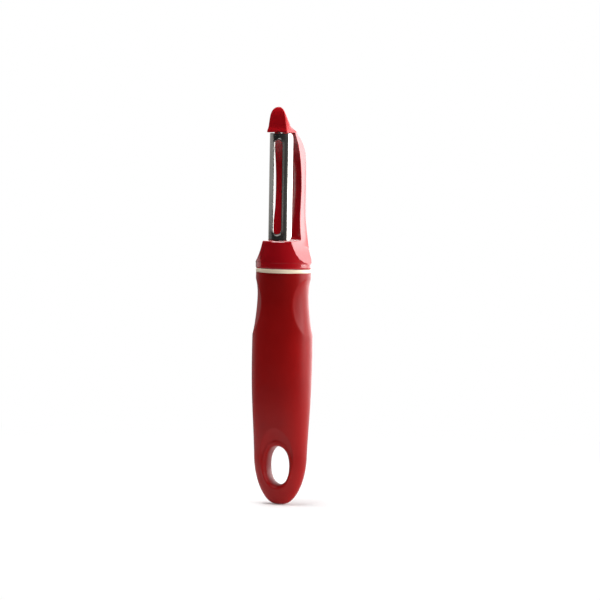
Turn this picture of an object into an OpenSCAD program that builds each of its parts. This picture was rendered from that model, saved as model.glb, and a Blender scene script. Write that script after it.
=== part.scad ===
// Straight swivel vegetable peeler, standing on the end of its handle.
// +Z runs from the handle's end to the tip, -Y is the front that the blade faces, and X is the mirror axis.
// All sizes are in millimetres.

/* [Overall heights] */
// Height of the handle's soft skin
grip_h = 120; // [110:1:128]
// Height of the cream ring
ring_h = 2; // [1:0.5:3]
// Height of the top of the head's base
base_top = 136.4; // [135:0.2:138]
// Height of the tip cap's lower edge
cap_bottom = 191.9; // [191:0.1:193]

/* [Handle] */
// Half width of the handle at its belly
belly_hw = 15.9; // [14.5:0.1:17]
// Half width of the handle at its waist, below the ring
waist_hw = 13.6; // [12.5:0.1:14]
// Half depth of the handle at its belly
belly_hd = 11.3; // [10:0.1:12]
// Thickness of the soft skin over the rigid core
skin_t = 2.2; // [1.5:0.1:2.6]

/* [Hanging hole] */
// Half width of the oval hole
hole_hw = 5.75; // [5:0.05:6.5]
// Half height of the oval hole
hole_hh = 9.75; // [9:0.05:10.5]
// Height of the hole's centre
hole_z = 20.7; // [20:0.1:22]

/* [Head] */
// Half width of the flared base where it meets the ring
flare_hw = 14.9; // [14.5:0.1:15.5]
// Half depth of the flared base
flare_hd = 12; // [11.6:0.1:12.4]
// Half width of the rear arm at its front face
arm_hw = 6.9; // [6.5:0.1:7.2]
// Angle by which each side of the head opens out towards the back
side_draft = 5.5; // [4:0.5:7]

/* [Blade] */
// Half width of the blade between its legs
blade_hw = 5.9; // [5.5:0.1:6.2]
// Thickness of the blade's sheet steel
sheet_t = 0.8; // [0.6:0.1:1]
// Half width of the peeling slot
slot_hw = 2.3; // [2:0.1:2.6]
// Length of the peeling slot
slot_len = 48.4; // [44:0.2:49]

/* [Pivot] */
// Distance of the swivel axis in front of the tool's centre line
pivot_front = 7.6; // [7.4:0.1:7.8]
// Radius of the upper pivot pin
upper_pin_r = 1; // [0.8:0.05:1.1]
// Radius of the lower pivot pin
lower_pin_r = 1.3; // [1:0.05:1.5]
// Radial running clearance of each pin in its bush
pin_play = 0.05; // [0.02:0.01:0.1]

/* [Hidden] */
$fn = 64;

gloss_red = [0.62, 0.04, 0.07];
soft_red = [0.46, 0.06, 0.07];
core_red = [0.35, 0.05, 0.06];
cream = [0.96, 0.9, 0.8];
steel = [0.72, 0.72, 0.71];
acetal = [0.13, 0.13, 0.14];

// Heights that follow from the driving ones
ring_top = grip_h + ring_h;
pivot_y = -pivot_front;
blade_bottom = base_top + 0.35;
blade_top = cap_bottom - 0.35;
tip_z = cap_bottom + 13.1;
cap_front = -12;

// Bushes: each flange stands a little proud of its seat towards the blade's lug
flange_t = 0.8;
flange_r = 2.7;
lower_flange_top = base_top + 0.2;
upper_flange_low = cap_bottom - 0.1;
lower_wall_r = lower_pin_r + 1.1;
upper_wall_r = upper_pin_r + 0.9;
lower_bush_len = 6;
upper_bush_len = 3.5;
rivet_t = 0.8;
lower_rivet_r = 2.1;
upper_rivet_r = 1.8;

// Tang of the head frame, and the socket for it in the core
tang_hw = 5;
tang_hd = 4;
tang_z = 84;
dowel_r = 1.25;
dowel_z = [94, 109];
dowel_hl = 9;

// Handle outline: half width, half depth and slope against height
hang_end = 26;
end_over = 0.7;
foot_hw = 14;
foot_hd = 7;
squareness = 2.2;
width_stations = [
    [hang_end, foot_hw, 0.03], [50, 15.3, 0.05], [76, belly_hw, 0],
    [93.5, 15.0, -0.16], [106.5, waist_hw, 0], [grip_h, 14.3, 0.06]
];
depth_stations = [
    [hang_end, foot_hd, 0.16], [50, 10.4, 0.09], [72, belly_hd, 0], [104, 10.4, 0.0], [grip_h, 11.1, 0.05]
];

// Cubic Hermite curve through stations of [height, value, slope]
function hermite(st, z, i = 0) =
    (i < len(st) - 2 && z > st[i + 1][0]) ? hermite(st, z, i + 1) :
    let (h = st[i + 1][0] - st[i][0], t = (z - st[i][0]) / h)
    (2 * t^3 - 3 * t^2 + 1) * st[i][1] + (t^3 - 2 * t^2 + t) * h * st[i][2]
    + (3 * t^2 - 2 * t^3) * st[i + 1][1] + (t^3 - t^2) * h * st[i + 1][2];

// Rounded end of the handle, an ellipse in both views
function end_round(z) = sqrt(max(0, 1 - ((hang_end - z) / (hang_end + end_over))^2));
function end_taper(z) = 0.9 + 0.1 * z / hang_end;
function handle_hw(z) = z < hang_end ? foot_hw * end_round(z) : hermite(width_stations, z);
function handle_hd(z) =
    z < hang_end ? foot_hd * end_round(z)^0.8 * end_taper(z) : hermite(depth_stations, z);

// One closed ring of a section that is a little squarer than an ellipse
function section(hw, hd, z, sides) = [
    for (k = [0 : sides - 1])
        let (a = 360 * (k + 0.5) / sides, e = 2 / squareness)
        [hw * sign(cos(a)) * abs(cos(a))^e, hd * sign(sin(a)) * abs(sin(a))^e, z]
];

// Point on a cubic Bezier curve, and a run of them without the last
function bezier_point(p, t) =
    (1 - t)^3 * p[0] + 3 * (1 - t)^2 * t * p[1] + 3 * (1 - t) * t^2 * p[2] + t^3 * p[3];
function bezier(p, steps) = [for (k = [0 : steps - 1]) bezier_point(p, k / steps)];

// Solid through a stack of rings, each with the same number of points
module stack_solid(rings) {
    sides = len(rings[0]);
    top = len(rings) - 1;
    polyhedron(
        points = [for (ring = rings) for (p = ring) p],
        faces = concat(
            [[for (k = [0 : sides - 1]) k]],
            [for (r = [0 : top - 1]) for (k = [0 : sides - 1])
                let (n = (k + 1) % sides)
                [r * sides + k, (r + 1) * sides + k, (r + 1) * sides + n, r * sides + n]],
            [[for (k = [sides - 1 : -1 : 0]) top * sides + k]]
        )
    );
}

// Four-arc oval: half sizes along X and Y, with Y the longer way across its ends when hy > hx
module oval(hx, hy, end_r) {
    c = hx - end_r;
    side_r = (hy^2 + c^2 - end_r^2) / (2 * (hy - end_r));
    clip = side_r * c / (side_r - end_r);
    for (s = [-1, 1]) translate([s * c, 0]) circle(r = end_r);
    intersection() {
        translate([0, side_r - hy]) circle(r = side_r, $fn = 128);
        translate([0, hy - side_r]) circle(r = side_r, $fn = 128);
        square([2 * clip, 4 * hy], center = true);
    }
}

// Extrudes a [Y, Z] outline along X, both ways from the middle
module side_slab(half) {
    rotate([90, 0, 90]) translate([0, 0, -half]) linear_extrude(2 * half) children();
}

// Extrudes an [X, Z] outline along Y, between two depths
module front_slab(y0, y1) {
    translate([0, y1, 0]) rotate([90, 0, 0]) linear_extrude(y1 - y0) children();
}

// Oval of the hanging hole, grown by a margin, through the handle
module hang_hole(margin) {
    front_slab(-20, 20) translate([0, hole_z]) rotate(90)
        oval(hole_hh + margin, hole_hw + margin, 4.4 + margin);
}

// Heights of the rings that the handle is swept through, closer together at its rounded end
function sweep_heights(low, high, steps) = concat(
    [for (k = [0 : 7]) low + (hang_end - low) * (1 - cos(90 * k / 8))],
    [for (k = [0 : steps]) hang_end + (high - hang_end) * k / steps]
);

module handle_body() {
    stack_solid([for (z = sweep_heights(0, grip_h, 18)) section(handle_hw(z), handle_hd(z), z, 40)]);
}

// Rigid core: the handle's shape, smaller by the skin all round. The cavity for it runs on past the open top
core_sides = 28;
core_rings = [
    for (z = sweep_heights(skin_t, grip_h, 11))
        section(max(2.4, handle_hw(z) - skin_t), max(1.4, handle_hd(z) - skin_t), z, core_sides)
];
core_mouth = section(handle_hw(grip_h) - skin_t, handle_hd(grip_h) - skin_t, grip_h + 1, core_sides);

// Core's own opening round the hanging hole, which the soft skin lines
lining_t = 1.5;
module core_opening() {
    hang_hole(lining_t);
}

module grip_sleeve() {
    color(soft_red) difference() {
        handle_body();
        difference() {
            stack_solid(concat(core_rings, [core_mouth]));
            core_opening();
        }
        hang_hole(0);
    }
}

module tang() {
    translate([-tang_hw, -tang_hd, tang_z]) cube([2 * tang_hw, 2 * tang_hd, 40]);
}

module dowels(r) {
    for (z = dowel_z) translate([-dowel_hl, 0, z]) rotate([0, 90, 0]) cylinder(r = r, h = 2 * dowel_hl);
}

module grip_core() {
    color(core_red) difference() {
        stack_solid(core_rings);
        core_opening();
        tang();
        dowels(dowel_r);
    }
}

module collar_ring() {
    color(cream) difference() {
        translate([0, 0, grip_h]) linear_extrude(ring_h) oval(flare_hw - 0.35, flare_hd - 0.35, 9.2);
        tang();
    }
}

// Outline of the head's +X side in its front plane, from the ring up to the cap: a hollow flare, then the arm
draft_y = -11.5;
edge_hw = arm_hw - (3 - draft_y) * tan(side_draft);
function head_edge() = concat(
    [[flare_hw + 0.1, ring_top]],
    bezier([
        [flare_hw + 0.1, ring_top + 2.2], [edge_hw + 4, ring_top + 5],
        [edge_hw + 1.5, base_top + 0.1], [edge_hw, base_top + 13.6]
    ], 12),
    bezier([
        [edge_hw, base_top + 13.6], [edge_hw, base_top + 30],
        [edge_hw, cap_bottom - 12], [edge_hw, cap_bottom - 9]
    ], 1),
    bezier([
        [edge_hw, cap_bottom - 9], [edge_hw, cap_bottom - 5], [edge_hw - 0.3, cap_bottom - 2.5],
        [edge_hw - 0.8, cap_bottom]
    ], 5),
    [[edge_hw - 0.8, cap_bottom]]
);

// Everything on the inner side of the head's +X face, which opens out towards the back
module inside_of_side() {
    translate([0, draft_y, 0]) rotate([0, 0, -side_draft]) front_slab(-20, 40)
        polygon(concat(head_edge(), [[-40, cap_bottom], [-40, ring_top]]));
}

// Rear of the arm and cap: up the back, then forward along a straight slope to the tip
slope_foot = [0.9, cap_bottom];
slope_dir = [-0.774, 0.633];
slope_in = [-0.633, -0.774];

module arm_side_outline() {
    polygon(concat(
        [[-14, ring_top], [-14, base_top]],
        bezier([[-1.6, base_top], [0.6, base_top], [1.6, base_top + 1.4], [2.0, base_top + 3]], 6),
        bezier([[2.0, base_top + 3], [3.6, base_top + 9], [5.2, base_top + 18], [5.4, base_top + 27]], 8),
        bezier([[5.4, base_top + 27], [5.6, base_top + 38], [3.8, base_top + 44], [1.6, base_top + 48.5]], 8),
        bezier([[1.6, base_top + 48.5], [0.2, base_top + 51.2], [-1.4, base_top + 53], [-1.4, cap_bottom]], 6),
        [[-1.4, cap_bottom]],
        bezier([slope_foot, [5.2, cap_bottom - 3.1], [9.0, cap_bottom - 7.2], [10.6, cap_bottom - 15.4]], 8),
        bezier([[10.6, cap_bottom - 15.4], [12, cap_bottom - 22], [12, base_top + 24], [12, base_top + 12]], 8),
        [[12, base_top + 12], [12, ring_top]]
    ));
}

// Tongue on the arm's upper end, along the slope, which the cap is pushed over
module arm_tongue() {
    base = slope_foot - 2.4 * slope_dir;
    tip = slope_foot + 4.6 * slope_dir;
    side_slab(3.2) polygon([
        base + 1.0 * slope_in, tip + 1.0 * slope_in, tip + 2.6 * slope_in, base + 2.6 * slope_in
    ]);
}

module head_frame() {
    color(gloss_red) difference() {
        union() {
            intersection() {
                side_slab(20) arm_side_outline();
                inside_of_side();
                mirror([1, 0, 0]) inside_of_side();
                translate([0, 0, ring_top]) linear_extrude(cap_bottom - ring_top) oval(flare_hw, flare_hd, 9.5);
            }
            difference() {
                tang();
                translate([-20, -20, ring_top]) cube([40, 40, 40]);
            }
            arm_tongue();
        }
        translate([0, pivot_y, lower_flange_top - lower_bush_len]) cylinder(r = lower_wall_r, h = 10);
        translate([0, pivot_y, lower_flange_top - flange_t]) cylinder(r = flange_r, h = 10);
        dowels(dowel_r);
    }
}

// Radius of the notch in the middle of the cap's lower front edge
notch_r = 1.5;

// Right-hand half of the cap seen from the front, from its lower edge to the middle of its domed tip
cap_edge = concat(
    [[5.1, cap_bottom]],
    bezier([[4, tip_z - 5], [3.3, tip_z - 1.4], [1.6, tip_z], [0, tip_z]], 9)
);

module cap_front_outline() {
    polygon(concat(
        cap_edge, [[0, tip_z]],
        [for (k = [len(cap_edge) - 1 : -1 : 0]) [-cap_edge[k][0], cap_edge[k][1]]]
    ));
}

module cap_side_outline() {
    polygon(concat(
        [[cap_front, cap_bottom], slope_foot],
        bezier([
            [-8.8, cap_bottom + 7.9], [-10.1, cap_bottom + 9.0],
            [-10.8, cap_bottom + 10.6], [-11.1, tip_z - 0.5]
        ], 6),
        [[-11.1, tip_z - 0.5], [-11.3, tip_z], [-11.7, tip_z], [cap_front, tip_z - 0.7]]
    ));
}

module tip_cap() {
    color(gloss_red) difference() {
        intersection() {
            front_slab(-20, 20) cap_front_outline();
            side_slab(20) cap_side_outline();
        }
        arm_tongue();
        translate([0, pivot_y, upper_flange_low - 1]) cylinder(r = flange_r, h = 1 + flange_t);
        translate([0, pivot_y, cap_bottom])
            cylinder(r = upper_wall_r, h = upper_flange_low + upper_bush_len - cap_bottom);
        translate([0, pivot_y, cap_bottom - 0.1]) rotate([90, 0, 0]) cylinder(r = notch_r, h = 8);
    }
}

// C-section of the blade: a shallow crown, two tight corners and two straight legs
crown_r = 9.5;
crown_y = -10.5;
corner_r = 1.9;
leg_splay = 0.3;
corner_a = asin((blade_hw - leg_splay - corner_r) / (crown_r - corner_r));
leg_a = 85;
leg_back = -4.6;
// Angle by which neighbouring bands of the section run into each other
band_lap = 0.3;

module arc_band(r, a0, a1) {
    intersection() {
        difference() {
            circle(r = r);
            circle(r = r - sheet_t);
        }
        polygon([
            [0, 0], 3 * r * [sin(a0), -cos(a0)],
            3 * r * [sin((a0 + a1) / 2), -cos((a0 + a1) / 2)], 3 * r * [sin(a1), -cos(a1)]
        ]);
    }
}

module blade_section() {
    corner = [(crown_r - corner_r) * sin(corner_a), crown_y + crown_r - (crown_r - corner_r) * cos(corner_a)];
    leg_start = corner + corner_r * [sin(leg_a), -cos(leg_a)];
    translate([0, crown_y + crown_r]) arc_band(crown_r, -corner_a, corner_a);
    for (s = [0, 1]) mirror([s, 0]) {
        translate(corner) arc_band(corner_r, corner_a - band_lap, leg_a + band_lap);
        translate(leg_start) rotate(leg_a - 90) translate([-sheet_t, -0.02])
            square([sheet_t, leg_back - leg_start[1]]);
    }
}

// Folded lug at one end of the blade, with its pin's hole
lug_r = 3;
module lug(z, pin_r) {
    translate([0, 0, z]) difference() {
        linear_extrude(sheet_t) {
            translate([-lug_r, crown_y + 0.5]) square([2 * lug_r, pivot_y - crown_y - 0.5]);
            translate([0, pivot_y]) circle(r = lug_r);
        }
        translate([0, pivot_y, -1]) cylinder(r = pin_r, h = 3);
    }
}

module slot_outline(grow) {
    mid = (blade_bottom + blade_top) / 2;
    run = slot_len / 2 - slot_hw;
    translate([-slot_hw - grow, mid - run]) square([2 * (slot_hw + grow), 2 * run]);
    for (s = [-1, 1]) translate([0, mid + s * run]) circle(r = slot_hw + grow);
}

// Rounds the free corner of both legs at one end
module leg_corner_cut(z, up) {
    r = 3;
    translate([0, leg_back, z]) mirror([0, 0, up ? 0 : 1]) difference() {
        translate([-20, -r, -r]) cube([40, r + 2, r + 1]);
        translate([-21, -r, -r]) rotate([0, 90, 0]) cylinder(r = r, h = 42);
    }
}

module blade() {
    color(steel) {
        difference() {
            union() {
                translate([0, 0, blade_bottom]) linear_extrude(blade_top - blade_bottom) blade_section();
                front_slab(crown_y - 0.35, crown_y + sheet_t) slot_outline(0.6);
            }
            front_slab(crown_y - 2, crown_y + 3) slot_outline(0);
            leg_corner_cut(blade_top, true);
            leg_corner_cut(blade_bottom, false);
        }
        lug(blade_bottom, lower_pin_r);
        lug(blade_top - sheet_t, upper_pin_r);
    }
}

// Headed pin: its head lies against the inner face of the blade's lug
module headed_pin(r, head_r, head_t, length) {
    cylinder(r = head_r, h = head_t);
    translate([0, 0, head_t]) cylinder(r = r, h = length);
}

module lower_pivot_pin() {
    color(steel) translate([0, pivot_y, blade_bottom + sheet_t + rivet_t]) mirror([0, 0, 1])
        headed_pin(lower_pin_r, lower_rivet_r, rivet_t, sheet_t + lower_bush_len - 0.3);
}

module upper_pivot_pin() {
    color(steel) translate([0, pivot_y, blade_top - sheet_t - rivet_t])
        headed_pin(upper_pin_r, upper_rivet_r, rivet_t, sheet_t + upper_bush_len);
}

// Flanged bush, with its flange at the bottom
module flanged_bush(bore_r, wall_r, length) {
    difference() {
        union() {
            cylinder(r = flange_r, h = flange_t);
            cylinder(r = wall_r, h = length);
        }
        translate([0, 0, -1]) cylinder(r = bore_r, h = length + 2);
    }
}

module lower_bush() {
    color(acetal) translate([0, pivot_y, lower_flange_top]) mirror([0, 0, 1])
        flanged_bush(lower_pin_r + pin_play, lower_wall_r, lower_bush_len);
}

module upper_bush() {
    color(acetal) translate([0, pivot_y, upper_flange_low])
        flanged_bush(upper_pin_r + pin_play, upper_wall_r, upper_bush_len);
}

module tang_dowels() {
    color(steel) dowels(dowel_r);
}

grip_sleeve();
grip_core();
collar_ring();
head_frame();
tip_cap();
blade();
lower_pivot_pin();
upper_pivot_pin();
lower_bush();
upper_bush();
tang_dowels();
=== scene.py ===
"""Looks of a straight swivel vegetable peeler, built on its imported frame.

The tool stands on the end of its handle: +Z runs to the tip, -Y is the front that the blade faces, and X is
the mirror axis. Sizes are in millimetres until a mesh is published, which turns them into metres.
"""

import logging
import math
from dataclasses import dataclass
from enum import Enum
from functools import partial
from typing import Callable, Optional, Sequence

import bmesh
import bpy
from mathutils import Matrix, Vector


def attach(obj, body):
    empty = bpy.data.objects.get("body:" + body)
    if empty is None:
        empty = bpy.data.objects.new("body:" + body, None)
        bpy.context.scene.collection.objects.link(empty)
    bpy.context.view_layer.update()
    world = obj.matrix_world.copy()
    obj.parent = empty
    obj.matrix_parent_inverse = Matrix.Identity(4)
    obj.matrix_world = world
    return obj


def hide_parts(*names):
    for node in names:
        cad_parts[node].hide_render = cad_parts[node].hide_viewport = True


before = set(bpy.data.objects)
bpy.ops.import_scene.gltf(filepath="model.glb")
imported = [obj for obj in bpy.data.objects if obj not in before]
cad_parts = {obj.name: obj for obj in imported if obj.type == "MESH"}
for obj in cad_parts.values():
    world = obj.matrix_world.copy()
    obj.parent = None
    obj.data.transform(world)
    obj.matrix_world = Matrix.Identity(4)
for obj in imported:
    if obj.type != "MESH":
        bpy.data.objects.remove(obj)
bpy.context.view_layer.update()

LOG = logging.getLogger("peeler")
MM = 0.001
Colour = tuple[float, float, float]
Ring = list[Vector]
Socket = bpy.types.NodeSocket
Tree = bpy.types.NodeTree


class Body(Enum):
    """The two bodies of the tool that pieces ride on."""

    FRAME = "frame"
    BLADE = "blade_unit"


class Slot(Enum):
    """The record's material slots."""

    SOFT_GRIP = "soft_grip"
    CORE = "core_plastic"
    CREAM = "cream_plastic"
    GLOSS = "gloss_red"
    BLADE = "blade_steel"
    PIN = "pin_steel"
    BUSH = "bush_acetal"


class Crease(Enum):
    """How tightly an edge of a cage is held when it is smoothed."""

    SOFT = 0.0
    EASED = 0.42
    FIRM = 0.6


# ----- Shapes -----


def clamp(value: float, low: float = 0.0, high: float = 1.0) -> float:
    """The value, kept between low and high."""
    return max(low, min(high, value))


def ease(low: float, high: float, value: float) -> float:
    """A smooth rise from 0 at low to 1 at high."""
    t = clamp((value - low) / (high - low))
    return t * t * (3 - 2 * t)


def blend(a: float, b: float, share: float) -> float:
    """The number that lies a share of the way from a to b."""
    return a + (b - a) * share


def signed_power(value: float, power: float) -> float:
    """A number's size raised to a power, with the number's own sign."""
    return math.copysign(abs(value) ** power, value)


@dataclass(frozen=True)
class Course:
    """A smooth course of a size against height.

    Fields:
        stations: (height, value, slope) at each station, from the lowest up.
    """

    stations: tuple[tuple[float, float, float], ...]

    def at(self, z: float) -> float:
        """The value at a height.

        Args:
            z: Height in millimetres, held inside the first and last station.

        Returns:
            The value of the cubic Hermite curve there.
        """
        z = clamp(z, self.stations[0][0], self.stations[-1][0])
        for (z0, v0, s0), (z1, v1, s1) in zip(self.stations, self.stations[1:]):
            if z <= z1:
                break
        h = z1 - z0
        t = (z - z0) / h
        rise = t * t * (3 - 2 * t)
        return blend(v0, v1, rise) + h * (s0 * t * (1 - t) ** 2 - s1 * t * t * (1 - t))


@dataclass(frozen=True)
class Oval:
    """A four-arc oval, as the ring and the head's base have in plan.

    Fields:
        half_x: Half width.
        half_y: Half depth.
        end_r: Radius of its two ends.
    """

    half_x: float
    half_y: float
    end_r: float

    def depth_at(self, x: float) -> float:
        """The half depth at a distance from the middle.

        Args:
            x: Distance along the oval's width.

        Returns:
            The half depth there, 0 past the end.
        """
        x = abs(x)
        centre = self.half_x - self.end_r
        side_r = (self.half_y**2 + centre**2 - self.end_r**2) / (2 * (self.half_y - self.end_r))
        if x < side_r * centre / (side_r - self.end_r):
            return math.sqrt(side_r**2 - x**2) - (side_r - self.half_y)
        return math.sqrt(max(0.0, self.end_r**2 - (x - centre) ** 2))

    def inset(self, by: float) -> "Oval":
        """The same oval, smaller by a margin all round."""
        return Oval(self.half_x - by, self.half_y - by, self.end_r - by)

    def ring(self, z: float, count: int) -> Ring:
        """Points round the oval at a height, closer together at its ends.

        Args:
            z: The height.
            count: How many points.

        Returns:
            The points, in order.
        """
        points = []
        for k in range(count):
            turn = math.tau * (k + 0.5) / count
            x = self.half_x * math.cos(turn)
            points.append(Vector((x, math.copysign(self.depth_at(x), math.sin(turn)), z)))
        return points


class Loft:
    """A skin that grows ring by ring from a circle, with an edge held wherever a crease is asked for."""

    def __init__(self, ring: Ring) -> None:
        """Starts the skin with a closed end.

        Args:
            ring: Where the first ring's points go.
        """
        self.bm = bmesh.new()
        self.hold = self.bm.edges.layers.float.new("crease_edge")
        self.index = self.bm.verts.layers.int.new("index")
        made = bmesh.ops.create_circle(self.bm, cap_ends=True, segments=len(ring), radius=1)
        self.ring = list(made["verts"])
        for k, (vert, point) in enumerate(zip(self.ring, ring)):
            vert[self.index] = k
            vert.co = point

    def edges(self) -> list[bmesh.types.BMEdge]:
        """The edges round the last ring."""
        return [self.bm.edges.get(pair) for pair in zip(self.ring, self.ring[1:] + self.ring[:1])]

    def grow(self, ring: Ring, corners: Sequence[int] = (), crease: Crease = Crease.SOFT) -> "Loft":
        """Adds a ring.

        Args:
            ring: Where its points go.
            corners: The points whose edge up from the ring before is held.
            crease: How tightly.

        Returns:
            The loft itself.
        """
        made = bmesh.ops.extrude_edge_only(self.bm, edges=self.edges())
        fresh = [item for item in made["geom"] if isinstance(item, bmesh.types.BMVert)]
        fresh.sort(key=lambda vert: vert[self.index])
        for vert, point in zip(fresh, ring):
            vert.co = point
        for k in corners:
            self.bm.edges.get((self.ring[k], fresh[k]))[self.hold] = crease.value
        self.ring = fresh
        return self

    def hold_ring(self, crease: Crease) -> "Loft":
        """Holds the edges round the last ring.

        Args:
            crease: How tightly.

        Returns:
            The loft itself.
        """
        for edge in self.edges():
            edge[self.hold] = crease.value
        return self

    def close(self) -> bmesh.types.BMesh:
        """Closes the last ring with a face and returns the mesh."""
        bmesh.ops.contextual_create(self.bm, geom=self.edges())
        return self.bm


def linked_object(name: str, data: bpy.types.ID) -> bpy.types.Object:
    """A new object that shows the data, linked into the scene.

    Args:
        name: Its name.
        data: Its mesh, camera or light.

    Returns:
        The object.
    """
    obj = bpy.data.objects.new(name, data)
    bpy.context.scene.collection.objects.link(obj)
    return obj


def smoothed(bm: bmesh.types.BMesh, dress: Callable[[bpy.types.Object], None]) -> bmesh.types.BMesh:
    """A mesh with modifiers worked into it.

    Args:
        bm: The mesh, which is used up.
        dress: Adds the modifiers to the object that it is given.

    Returns:
        The finished mesh.
    """
    mesh = bpy.data.meshes.new("holder")
    bm.to_mesh(mesh)
    bm.free()
    holder = linked_object("holder", mesh)
    dress(holder)
    evaluated = holder.evaluated_get(bpy.context.evaluated_depsgraph_get())
    done = bmesh.new()
    done.from_mesh(evaluated.to_mesh())
    bpy.data.objects.remove(holder)
    bpy.data.meshes.remove(mesh)
    return done


def subdivide(obj: bpy.types.Object, levels: int) -> None:
    """Gives an object a Subdivision Surface modifier, the same in view and render."""
    modifier = obj.modifiers.new("smooth", "SUBSURF")
    modifier.levels = modifier.render_levels = levels


def publish(
    bm: bmesh.types.BMesh,
    name: str,
    body: Body,
    slot: Slot,
    material: bpy.types.Material,
    stands_for: Sequence[str] = (),
    levels: int = 0,
    sharp: Optional[float] = None,
) -> bpy.types.Object:
    """Makes a finished mesh a piece of the model.

    Args:
        bm: The mesh in millimetres, which is used up.
        name: The piece's name.
        body: The body that it rides on.
        slot: The record's slot for its finish; not used.
        material: Its finish.
        stands_for: The CAD nodes that it replaces.
        levels: Levels of live subdivision.
        sharp: Angle in degrees past which an edge is shaded sharp.

    Returns:
        The new object.
    """
    bmesh.ops.remove_doubles(bm, verts=bm.verts, dist=1e-4)
    bmesh.ops.recalc_face_normals(bm, faces=bm.faces)
    bmesh.ops.scale(bm, vec=(MM, MM, MM), verts=bm.verts)
    for face in bm.faces:
        face.smooth = True
    mesh = bpy.data.meshes.new(name)
    bm.to_mesh(mesh)
    bm.free()
    if sharp is not None:
        mesh.set_sharp_from_angle(angle=math.radians(sharp))
    mesh.materials.append(material)
    obj = linked_object(name, mesh)
    if levels:
        subdivide(obj, levels)
    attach(obj, body.value)
    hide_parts(*stands_for)
    LOG.info("piece %s: %d faces on %s", name, len(mesh.polygons), body.value)
    return obj


# ----- Finishes -----

PATTERN_SPAN = (0.3, 0.7)
"""The part of a pattern's height that is spread over a whole range of colour or roughness."""
CLOUD_SCALE = 70.0
GLOSS_SCALE = 220.0
WAVE_SCALE = 160.0
"""How many times the tone, the gloss and the wide relief of a plastic repeat in a metre."""


def fill(tree: Tree, node: bpy.types.Node, **inputs: object) -> None:
    """Sets or joins a node's inputs.

    Args:
        tree: The tree that the node is in.
        node: The node.
        inputs: A value, or an output to join, for each input; an underscore in a name stands for a space.
    """
    for name, given in inputs.items():
        socket = node.inputs[name.replace("_", " ")]
        if isinstance(given, Socket):
            tree.links.new(given, socket)
        else:
            socket.default_value = given


def add_node(tree: Tree, kind: str, **inputs: object) -> bpy.types.Node:
    """Adds a shader node.

    Args:
        tree: Where it goes.
        kind: Its type, without the leading "ShaderNode".
        inputs: As for fill.

    Returns:
        The node.
    """
    node = tree.nodes.new(f"ShaderNode{kind}")
    fill(tree, node, **inputs)
    return node


def mix_shaders(tree: Tree, share: Socket, first: Socket, second: Socket) -> Socket:
    """Mixes two shaders.

    Args:
        tree: Where the mix goes.
        share: How much of the second shows.
        first: Output of the first shader.
        second: Output of the second shader.

    Returns:
        Output of the mix.
    """
    mix = add_node(tree, "MixShader", Fac=share)
    tree.links.new(first, mix.inputs[1])
    tree.links.new(second, mix.inputs[2])
    return mix.outputs["Shader"]


class Graph:
    """A material's nodes, with short calls that add and join them on Object coordinates."""

    def __init__(self, name: str) -> None:
        """Starts a material with its shader and its coordinates.

        Args:
            name: The material's name.
        """
        self.material = bpy.data.materials.new(name)
        self.material.use_nodes = True
        self.tree = self.material.node_tree
        self.shader = self.tree.nodes["Principled BSDF"]
        self.place = add_node(self.tree, "TexCoord").outputs["Object"]

    def set(self, **sockets: object) -> None:
        """Sets or joins the shader's own sockets, as fill does."""
        fill(self.tree, self.shader, **sockets)

    def noise(self, scale: float, detail: float = 3.0, stretch: Sequence[float] = (1.0, 1.0, 1.0)) -> Socket:
        """A noise pattern.

        Args:
            scale: How many times it repeats in a metre.
            detail: How many finer levels it has.
            stretch: How much it is packed along each axis.

        Returns:
            Its height, from 0 to 1.
        """
        packed = add_node(self.tree, "Mapping", Scale=stretch, Vector=self.place)
        noise = add_node(self.tree, "TexNoise", Scale=scale, Detail=detail, Vector=packed.outputs["Vector"])
        return noise.outputs["Fac"]

    def rings(self, scale: float) -> Socket:
        """Fine turning marks that lie across the Z axis.

        Args:
            scale: How many times they repeat in a metre.

        Returns:
            Their height, from 0 to 1.
        """
        wave = add_node(self.tree, "TexWave", Scale=scale, Distortion=0.8, Vector=self.place)
        wave.bands_direction = "Z"
        return wave.outputs["Fac"]

    def colours(self, height: Socket, low: Colour, high: Colour) -> None:
        """Colours the shader between two tones by a pattern.

        Args:
            height: The pattern.
            low: The tone where it is low.
            high: The tone where it is high.
        """
        ramp = add_node(self.tree, "ValToRGB", Fac=height)
        for stop, at, tone in zip(ramp.color_ramp.elements, PATTERN_SPAN, (low, high)):
            stop.position = at
            stop.color = (*tone, 1.0)
        self.set(Base_Color=ramp.outputs["Color"])

    def roughness(self, height: Socket, low: float, high: float) -> None:
        """Varies the shader's roughness between two values by a pattern.

        Args:
            height: The pattern.
            low: The roughness where it is low.
            high: The roughness where it is high.
        """
        start, end = PATTERN_SPAN
        spread = add_node(
            self.tree, "MapRange", From_Min=start, From_Max=end, To_Min=low, To_Max=high, Value=height
        )
        self.set(Roughness=spread.outputs["Result"])

    def relief(self, *layers: tuple[Socket, float, float]) -> None:
        """Bumps the surface by one or more patterns.

        Args:
            layers: (pattern, strength, depth in millimetres) of each, from the coarsest to the finest.
        """
        below: dict[str, Socket] = {}
        for height, strength, depth in layers:
            bump = add_node(self.tree, "Bump", Strength=strength, Distance=depth * MM, Height=height, **below)
            below = {"Normal": bump.outputs["Normal"]}
        self.set(**below)


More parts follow.
